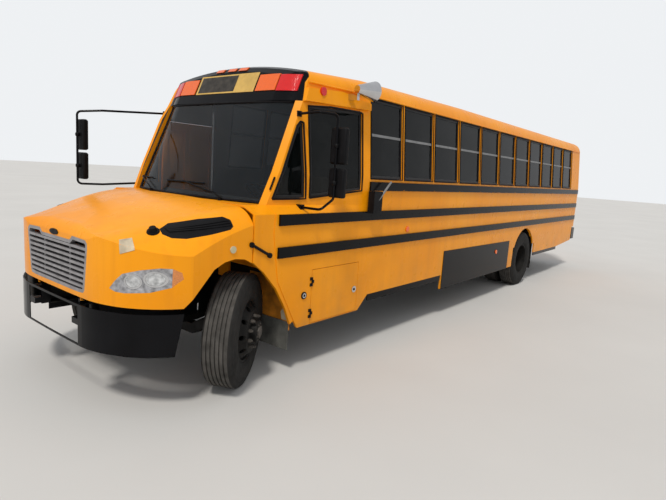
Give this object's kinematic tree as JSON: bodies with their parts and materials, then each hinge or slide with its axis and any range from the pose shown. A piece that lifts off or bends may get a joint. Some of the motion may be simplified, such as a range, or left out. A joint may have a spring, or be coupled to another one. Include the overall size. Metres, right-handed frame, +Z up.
{
  "type": "school bus",
  "caption": "Conventional school bus with a forward-tilting hood, hollow cabin with bench seats, side windows, steered front wheels, dual rear wheels and opening doors.",
  "frame": {"origin": "on the ground under the middle of the bus", "axes": "+X to the front, +Y to the bus's left, +Z up"},
  "size_m": [11.9098, 3.054, 3.0848],
  "materials": {
    "body_yellow": "gloss, sun-worn",
    "black_paint": "gloss black",
    "floor_metal": "matt grey",
    "glass_dark": "tinted",
    "sash_metal": "anodised",
    "grille_silver": "silver",
    "lamp_clear": "clear lens",
    "lamp_red": "red lens",
    "lamp_amber": "amber lens",
    "tyre_rubber": "worn",
    "seat_vinyl": "vinyl",
    "dash_plastic": "grained"
  },
  "bodies": {
    "body": {"battery_tray": "black_paint", "bench_frames": "black_paint", "cowl": "body_yellow", "dash": "dash_plastic", "drive_shaft": "black_paint", "engine": "black_paint", "exhaust": "grille_silver", "floor": "floor_metal", "frame_rails": "black_paint", "front_axle": "black_paint", "front_bumper": "black_paint", "front_cap": "body_yellow", "fuel_tank": "black_paint", "leaf_springs": "black_paint", "marker_lamps": "lamp_amber", "mirror_arms": "black_paint", "mirrors": "black_paint", "mud_flaps": "tyre_rubber", "radiator": "black_paint", "rear_axle": "black_paint", "rear_bumper": "black_paint", "rear_wall": "body_yellow", "roof": "body_yellow", "roof_lamp": "grille_silver", "rub_rails": "black_paint", "seats": "seat_vinyl", "side_glass": "glass_dark", "skirt_trim": "black_paint", "steering_wheel": "black_paint", "stepwell": "floor_metal", "stop_arm": "black_paint", "tail_lamps": "lamp_red", "wall_left": "body_yellow", "wall_right": "body_yellow", "warning_lamps": "lamp_red", "wheelhouses": "floor_metal", "window_sashes": "sash_metal", "windshield": "glass_dark"},
    "hood": {"hood": "body_yellow", "grille": "grille_silver", "headlamps": "lamp_clear", "hood_louvres": "black_paint"},
    "knuckle_left": {"knuckle_left": "black_paint"},
    "knuckle_right": {"knuckle_right": "black_paint"},
    "wheel_front_left": {"front_tyre_left": "tyre_rubber", "front_rim_left": "black_paint"},
    "wheel_front_right": {"front_tyre_right": "tyre_rubber", "front_rim_right": "black_paint"},
    "wheel_rear_left": {"rear_tyres_left": "tyre_rubber", "rear_rims_left": "black_paint"},
    "wheel_rear_right": {"rear_tyres_right": "tyre_rubber", "rear_rims_right": "black_paint"},
    "tie_rod": {"tie_rod": "black_paint"},
    "entry_leaf_front": {"entry_door_front": "body_yellow"},
    "entry_leaf_rear": {"entry_door_rear": "body_yellow"},
    "rear_door": {"rear_door": "body_yellow"},
    "battery_door": {"battery_door": "body_yellow"}
  },
  "joints": [
    {"name": "steer_left", "type": "hinge", "parent": "body", "child": "knuckle_left", "pos_m": [4.87, 0.88, 0.52174], "axis": [0, 0, 1], "range_deg": [-77, 13]},
    {"name": "steer_right", "type": "hinge", "parent": "body", "child": "knuckle_right", "pos_m": [4.87, -0.88, 0.52174], "axis": [0, 0, 1], "range_deg": [-77, 13]},
    {"name": "tie_rod_pivot", "type": "hinge", "parent": "knuckle_left", "child": "tie_rod", "pos_m": [4.73007, 0.79256, 0.37574], "axis": [0, 0, 1], "range_deg": [-13, 77]},
    {"name": "spin_front_left", "type": "hinge", "parent": "knuckle_left", "child": "wheel_front_left", "pos_m": [4.87, 0.88, 0.52174], "axis": [-0.5297, 0.8478, -0.0262], "continuous": true},
    {"name": "spin_front_right", "type": "hinge", "parent": "knuckle_right", "child": "wheel_front_right", "pos_m": [4.87, -0.88, 0.52174], "axis": [-0.5297, 0.8478, 0.0262], "continuous": true},
    {"name": "spin_rear_left", "type": "hinge", "parent": "body", "child": "wheel_rear_left", "pos_m": [-2.242, 0.905, 0.516], "axis": [0, 1, 0], "continuous": true},
    {"name": "spin_rear_right", "type": "hinge", "parent": "body", "child": "wheel_rear_right", "pos_m": [-2.242, -0.905, 0.516], "axis": [0, 1, 0], "continuous": true},
    {"name": "hood_tilt", "type": "hinge", "parent": "body", "child": "hood", "pos_m": [5.875, 0, 0.845], "axis": [0, 1, 0], "range_deg": [0, 60]},
    {"name": "entry_front_swing", "type": "hinge", "parent": "body", "child": "entry_leaf_front", "pos_m": [4.161, -1.183, 1.4], "axis": [0, 0, 1], "range_deg": [0, 88]},
    {"name": "entry_rear_swing", "type": "hinge", "parent": "body", "child": "entry_leaf_rear", "pos_m": [3.427, -1.183, 1.4], "axis": [0, 0, 1], "range_deg": [-88, 0]},
    {"name": "rear_door_swing", "type": "hinge", "parent": "body", "child": "rear_door", "pos_m": [-5.853, -0.4825, 1.8], "axis": [0, 0, 1], "range_deg": [0, 110]},
    {"name": "battery_door_swing", "type": "hinge", "parent": "body", "child": "battery_door", "pos_m": [4.0385, 1.227, 0.742], "axis": [0, 0, 1], "range_deg": [-110, 0]}
  ],
  "couplings": [
    {"joint": "steer_right", "follows": "steer_left", "ratio": 1},
    {"joint": "tie_rod_pivot", "follows": "steer_left", "ratio": -1},
    {"joint": "entry_rear_swing", "follows": "entry_front_swing", "ratio": -1}
  ]
}
